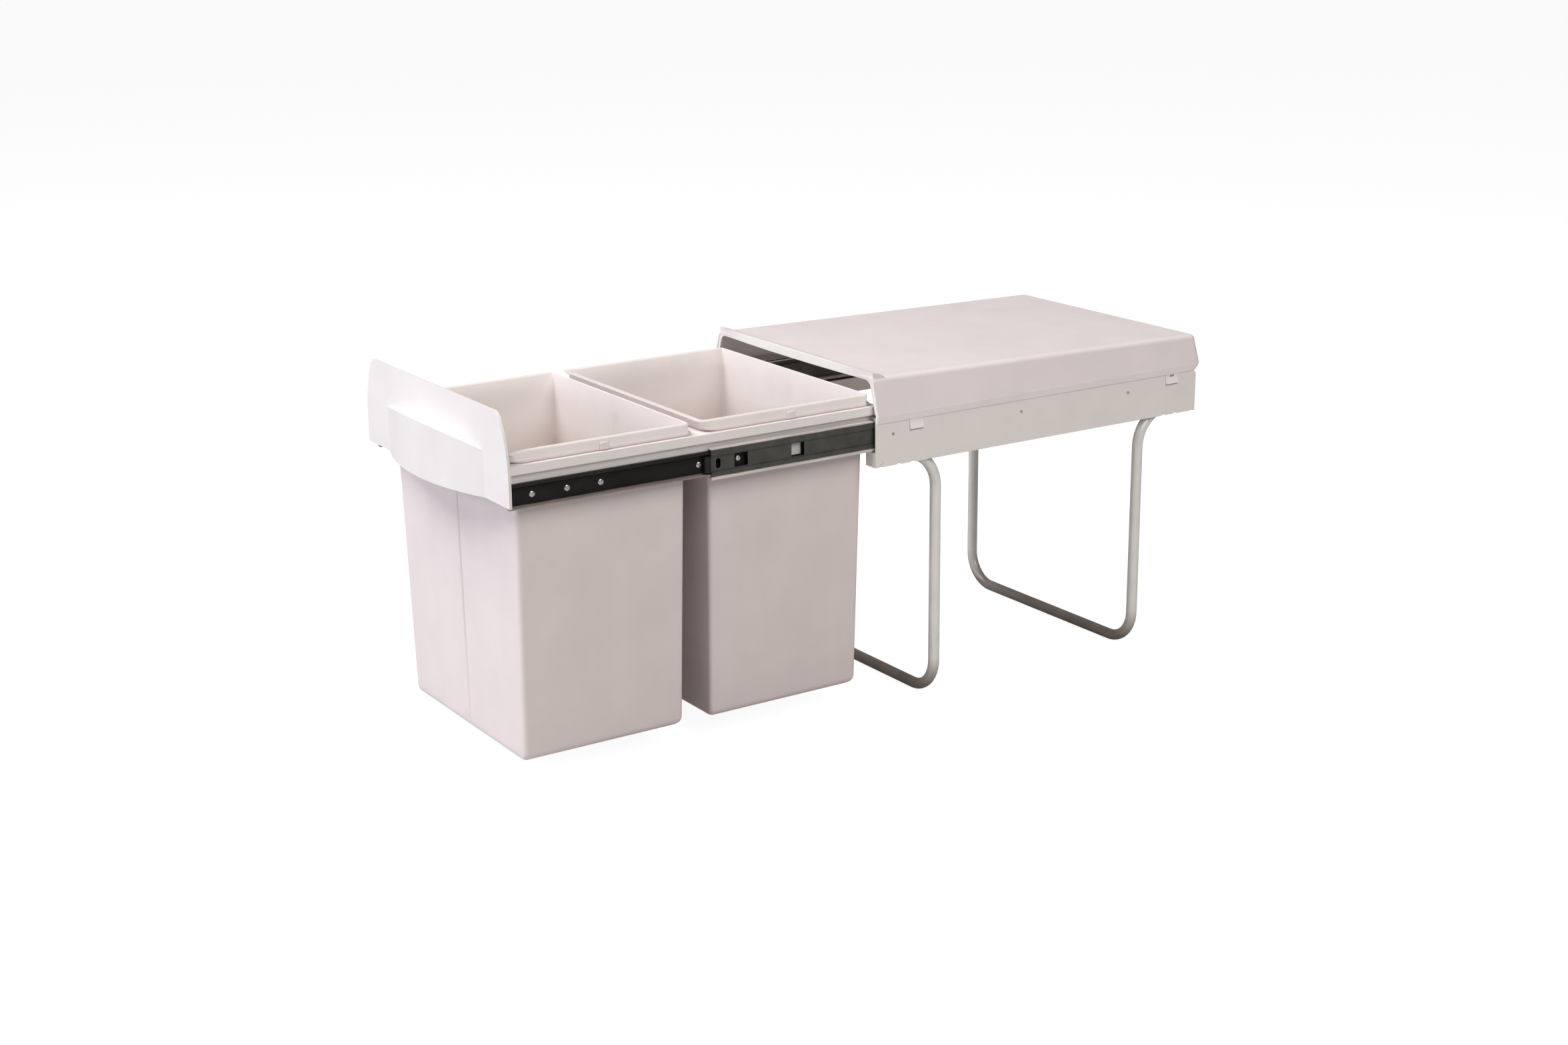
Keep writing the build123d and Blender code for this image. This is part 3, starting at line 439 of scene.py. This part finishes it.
def bin_piece(name, node, body, centre_y):
    """Thin-walled bin with straight inner walls, a flange that rests on the tray, and a broad front lip."""
    loops = []

    def add(*plan):
        loops.append(bin_loop(centre_y, *plan))

    for angle in (0, 18, 36, 54, 72, 90):
        up, out = edge_turn(angle)
        z = BIN_BOTTOM_Z + 8.0 * up
        half, deep = bin_wall_at(z, 0.0)
        add(z, half - 6.0 * out, -deep + 2.2 * out, deep - 8.0 * out, 5.5 - 1.5 * out, 6.0)
    for z, rib in OUTER_WALL:
        half, deep = bin_wall_at(z, 0.0)
        add(z, half, -deep, deep, *BIN_OUTER_CORNERS, rib)
    half, deep = bin_wall_at(FLANGE_FOOT_Z, 0.0)
    add(FLANGE_FOOT_Z, half, -deep, deep, 6.0, 6.0)
    for plan in FLANGE:
        add(*plan)
    upstand_start = len(loops)
    for plan in UPSTAND:
        add(*plan)
    upstand_end = len(loops) - 1
    for plan in RIM_TOP:
        add(*plan)
    mouth_start = len(loops) - 1
    for plan in MOUTH:
        add(*plan)
    for z, rib in INNER_WALL:
        half, deep = bin_wall_at(z, BIN_WALL)
        add(z, half, -deep, deep, *BIN_INNER_CORNERS, rib)
    for angle in (72, 54, 36, 18, 0):
        up, out = edge_turn(angle)
        z = BIN_BOTTOM_Z + 2.0 + 5.0 * up
        half, deep = bin_wall_at(z, BIN_WALL)
        add(z, half - 4.0 * out, -deep + 3.0 * out, deep - 4.0 * out, 4.0, 2.4 + 1.4 * out)

    points, faces = lofted(loops)
    count = len(loops[0])
    # The upstand and the inside take the lighter copy: painted light.
    levels = list(range(upstand_start, upstand_end)) + list(range(mouth_start, len(loops) - 1))
    painted_lit_faces = [f for level in levels for f in range(level * count, (level + 1) * count)]
    painted_lit_faces.append(len(faces) - 1)
    for side in (-1, 1):
        add_lug(points, faces, side, centre_y)
    piece = mesh_piece(name, points, faces, [bin_plastic, lit_bin_plastic], body, second_faces=painted_lit_faces)
    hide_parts(node)


def add_lug(points, faces, side, centre_y):
    """Small rounded lug on the upstand, thicker towards its front end."""
    loops = []
    for z, grow in LUG_LEVELS:
        outline = [(155.0, -7.5), (157.0 - grow, -7.0 + grow), (157.8 - grow, -5.0 + grow),
                   (157.2 - grow, 3.5 - grow), (155.0, 5.0)]
        loops.append([(side * x, centre_y + y, z) for x, y in outline])
    append_lofted(points, faces, loops)


# ---------- legs ----------

TUBE_RADIUS, TUBE_BORE_RADIUS, TUBE_BORE_DEPTH = 6.5, 5.4, 20.0
TUBE_SIDES, BEND_STEPS = 28, 14
END_ROUND = 0.3                         # on the open ends' edges
LEG_X, LEG_TOP_Z, LEG_FOOT_Z = 160.2, 302.3, 6.5
LEG_BENDS = (45.0, 40.0, 40.0, 45.0)


def route_samples(corners, radii):
    """Points and directions along straight runs joined by arcs."""
    samples = []
    here = Vector(corners[0])
    for index in range(1, len(corners) - 1):
        corner = Vector(corners[index])
        back = (Vector(corners[index - 1]) - corner).normalized()
        ahead = (Vector(corners[index + 1]) - corner).normalized()
        radius = radii[index - 1]
        first, last = corner + back * radius, corner + ahead * radius
        centre = first + ahead * radius
        samples.append((here, -back))
        for k in range(BEND_STEPS + 1):
            angle = math.pi / 2 * k / BEND_STEPS
            place = centre - ahead * radius * math.cos(angle) - back * radius * math.sin(angle)
            way = -back * math.cos(angle) + ahead * math.sin(angle)
            samples.append((place, way))
        here = last
    samples.append((Vector(corners[-1]), (Vector(corners[-1]) - here).normalized()))
    return samples


def tube_piece(name, node, corners, radii):
    """Round bent tube with its wall and bore showing at both open ends."""
    side = Vector((0, 0, 1))
    stations = []
    for place, way in route_samples(corners, radii):
        side = (side - way * side.dot(way)).normalized()
        stations.append((place, way, side, way.cross(side)))

    def ring(station, radius, along=0.0):
        place, way, side, other = station
        angles = [2 * math.pi * k / TUBE_SIDES for k in range(TUBE_SIDES)]
        return [tuple(place + way * along + side * radius * math.cos(angle) + other * radius * math.sin(angle))
                for angle in angles]

    start, end = stations[0], stations[-1]
    # Radius and depth inside the end, from the bore's bottom out to the tube's skin
    end_rings = ((TUBE_BORE_RADIUS, TUBE_BORE_DEPTH), (TUBE_BORE_RADIUS, END_ROUND),
                 (TUBE_BORE_RADIUS + END_ROUND, 0.0), (TUBE_RADIUS - END_ROUND, 0.0), (TUBE_RADIUS, END_ROUND))
    loops = [ring(start, radius, depth) for radius, depth in end_rings]
    loops += [ring(station, TUBE_RADIUS) for station in stations[1:-1]]
    loops += [ring(end, radius, -depth) for radius, depth in reversed(end_rings)]
    points, faces = lofted(loops)
    piece = mesh_piece(name, points, faces, [leg_metal], "frame", sharp=40.0)
    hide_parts(node)


# ---------- screws ----------

X_AXIS = 0
SCREW_SIDES = 32
PAN_HEAD_HEIGHT = 1.2
CROSS = 0.66                            # how deep the cross recess cuts into its rings


def add_screw(points, faces, tip, axis, way, length):
    """Pan-head screw from its hollowed tip to the head's cross recess; way is the head's side on the axis."""
    turn = math.radians((tip[1] * 37.0 + 20.0) % 90.0)      # each recess is turned its own way

    def ring(along, radius, cross=0.0):
        result = []
        for k in range(SCREW_SIDES):
            angle = 2 * math.pi * k / SCREW_SIDES
            r = radius * (1.0 - cross * (0.5 - 0.5 * math.cos(4 * (angle - turn))))
            place = [0.0, 0.0, 0.0]
            place[axis] = way * along
            place[1 - axis] = r * math.cos(angle)
            place[2] = r * math.sin(angle)
            result.append(tuple(tip[k] + place[k] for k in range(3)))
        return result

    under = length - PAN_HEAD_HEIGHT
    shank = [ring(1.0, 0.4), ring(1.1, 1.0), ring(0.7, 1.3), ring(0.7, 1.5), ring(1.1, 1.9), ring(under, 2.0)]
    head = [ring(under, 3.3), ring(under + 0.15, 3.5), ring(under + PAN_HEAD_HEIGHT * 0.55, 3.35),
            ring(under + PAN_HEAD_HEIGHT * 0.88, 2.7), ring(length, 2.05)]
    recess = [ring(length, 1.9, CROSS), ring(under + PAN_HEAD_HEIGHT * 0.15, 1.5, CROSS),
              ring(under + PAN_HEAD_HEIGHT * 0.1, 0.4, 0.4)]
    append_lofted(points, faces, shank + head + recess)


def islands(mesh):
    """Lowest and highest corner, in millimetres, of each separate solid in a mesh."""
    build = bmesh.new()
    build.from_mesh(mesh)
    bmesh.ops.remove_doubles(build, verts=build.verts, dist=1e-6)
    left = set(build.verts)
    found = []
    while left:
        reach = [left.pop()]
        whole = []
        while reach:
            vert = reach.pop()
            whole.append(vert.co * MM)
            for edge in vert.link_edges:
                other = edge.other_vert(vert)
                if other in left:
                    left.remove(other)
                    reach.append(other)
        low, high = ([pick(place[k] for place in whole) for k in range(3)] for pick in (min, max))
        found.append((low, high))
    build.free()
    return sorted(found)


def screw_piece(name, node, body, axis, way):
    """Screws in the places of the node's solids, as long as those."""
    points, faces = [], []
    for low, high in islands(nodes[node].data):
        tip = [(low[k] + high[k]) / 2 for k in range(3)]
        tip[axis] = low[axis] if way > 0 else high[axis]
        add_screw(points, faces, tip, axis, way, high[axis] - low[axis])
    piece = mesh_piece(name, points, faces, [screw_steel], body, sharp=50.0)
    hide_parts(node)


# ---------- the pieces ----------

bin_piece("bin_front_shell", "bin_front", "bin_front", -425.0)
bin_piece("bin_rear_shell", "bin_rear", "bin_rear", -193.0)

for name, node, post_y, end_y in (("front_leg_tube", "front_leg", 0.0, -89.0),
                                  ("rear_leg_tube", "rear_leg", 306.5, 385.0)):
    corners = [(LEG_X, end_y, LEG_TOP_Z), (LEG_X, post_y, LEG_TOP_Z), (LEG_X, post_y, LEG_FOOT_Z)]
    tube_piece(name, node, corners + [(-x, y, z) for x, y, z in reversed(corners)], LEG_BENDS)

for side, sign in (("left", -1), ("right", 1)):
    screw_piece(f"panel_screws_{side}_pan", f"panel_screws_{side}", "frame", X_AXIS, -sign)
    screw_piece(f"inner_screws_{side}_pan", f"inner_screws_{side}", "drawer", X_AXIS, sign)


# ---------- stage, light, camera ----------

BACKGROUND_STRENGTH = 0.09
LIGHT_TARGET = (0, -0.1, 0.25)

# Camera solved from the photo's edges
IMAGE_WIDTH = 2352.0
FOCAL_PIXELS = 3438.5176
SENSOR_WIDTH = 36.0
CAMERA_AZIMUTH, CAMERA_ELEVATION, CAMERA_ROLL = 56.74516, 16.37512, -0.54326
CAMERA_TARGET = (-0.013869, -0.093536, 0.187631)
CAMERA_DISTANCE = 2.7343246


def floor_plane(name, height):
    bpy.ops.mesh.primitive_plane_add(size=40.0, location=(0, 0, height))
    floor = bpy.context.object
    floor.name = name
    return floor


def stage_floor():
    """A white sheet that the camera sees, and a matt one just under it that bounces the light."""
    seen = floor_plane("floor", 0.0)
    p = Painter("floor_paper")
    p.link(p.ramp(p.noise(3.0), shades((0.22, 0.22, 0.22), 0.01)), p.shader.inputs["Base Color"])
    seen.data.materials.append(p.done(Roughness=1.0, Specular_IOR_Level=0.0, Emission_Strength=0.93,
                                      Emission_Color=(1, 1, 1, 1)))
    seen.visible_diffuse = seen.visible_glossy = seen.visible_transmission = seen.visible_shadow = False
    bounce = floor_plane("floor_bounce", -0.0005)
    p = Painter("bounce_paper")
    p.link(p.ramp(p.noise(3.0), shades((0.5, 0.49, 0.48), 0.01)), p.shader.inputs["Base Color"])
    bounce.data.materials.append(p.done(Roughness=1.0, Specular_IOR_Level=0.0))
    bounce.visible_camera = False


def area_light(name, place, size, power, colour):
    light = bpy.data.lights.new(name, "AREA")
    light.shape = "RECTANGLE"
    light.size, light.size_y = size
    light.energy = power
    light.color = colour
    lamp = bpy.data.objects.new(name, light)
    lamp.location = place
    lamp.rotation_euler = (Vector(LIGHT_TARGET) - Vector(place)).to_track_quat("-Z", "Y").to_euler()
    bpy.context.scene.collection.objects.link(lamp)
    return lamp


def studio():
    world = bpy.data.worlds.new("studio")
    world.use_nodes = True
    world.node_tree.nodes["Background"].inputs["Color"].default_value = (1.0, 1.0, 1.0, 1.0)
    world.node_tree.nodes["Background"].inputs["Strength"].default_value = BACKGROUND_STRENGTH
    bpy.context.scene.world = world
    area_light("key", (-0.4, -2.1, 3.4), (2.4, 2.0), 130.0, (1.0, 1.0, 0.965))
    area_light("front", (-0.6, -3.2, 1.1), (2.0, 1.6), 37.0, (0.92, 0.95, 1.12))
    area_light("side", (2.6, 0.0, 2.6), (2.0, 2.0), 64.0, (1.02, 1.0, 0.965))
    back = area_light("back", (-2.4, 2.4, 0.9), (1.6, 1.2), 24.0, (1.0, 1.0, 0.98))
    back.visible_glossy = False         # it would mirror in the cover's top


def photo_camera():
    azimuth, elevation = math.radians(CAMERA_AZIMUTH), math.radians(CAMERA_ELEVATION)
    roll = math.radians(CAMERA_ROLL)
    back = Vector((math.sin(azimuth) * math.cos(elevation), -math.cos(azimuth) * math.cos(elevation),
                   math.sin(elevation)))
    right = (-back).cross(Vector((0, 0, 1))).normalized()
    up = right.cross(-back)
    x = math.cos(roll) * right + math.sin(roll) * up
    y = -math.sin(roll) * right + math.cos(roll) * up
    camera = bpy.data.cameras.new("camera")
    camera.sensor_fit = "HORIZONTAL"
    camera.sensor_width = SENSOR_WIDTH
    camera.lens = FOCAL_PIXELS / IMAGE_WIDTH * SENSOR_WIDTH
    eye = bpy.data.objects.new("camera", camera)
    turn = Matrix((x, y, back)).transposed().to_4x4()
    eye.matrix_world = Matrix.Translation(Vector(CAMERA_TARGET) + back * CAMERA_DISTANCE) @ turn
    bpy.context.scene.collection.objects.link(eye)
    bpy.context.scene.camera = eye


stage_floor()
studio()
photo_camera()
bpy.context.scene.view_settings.view_transform = "Standard"
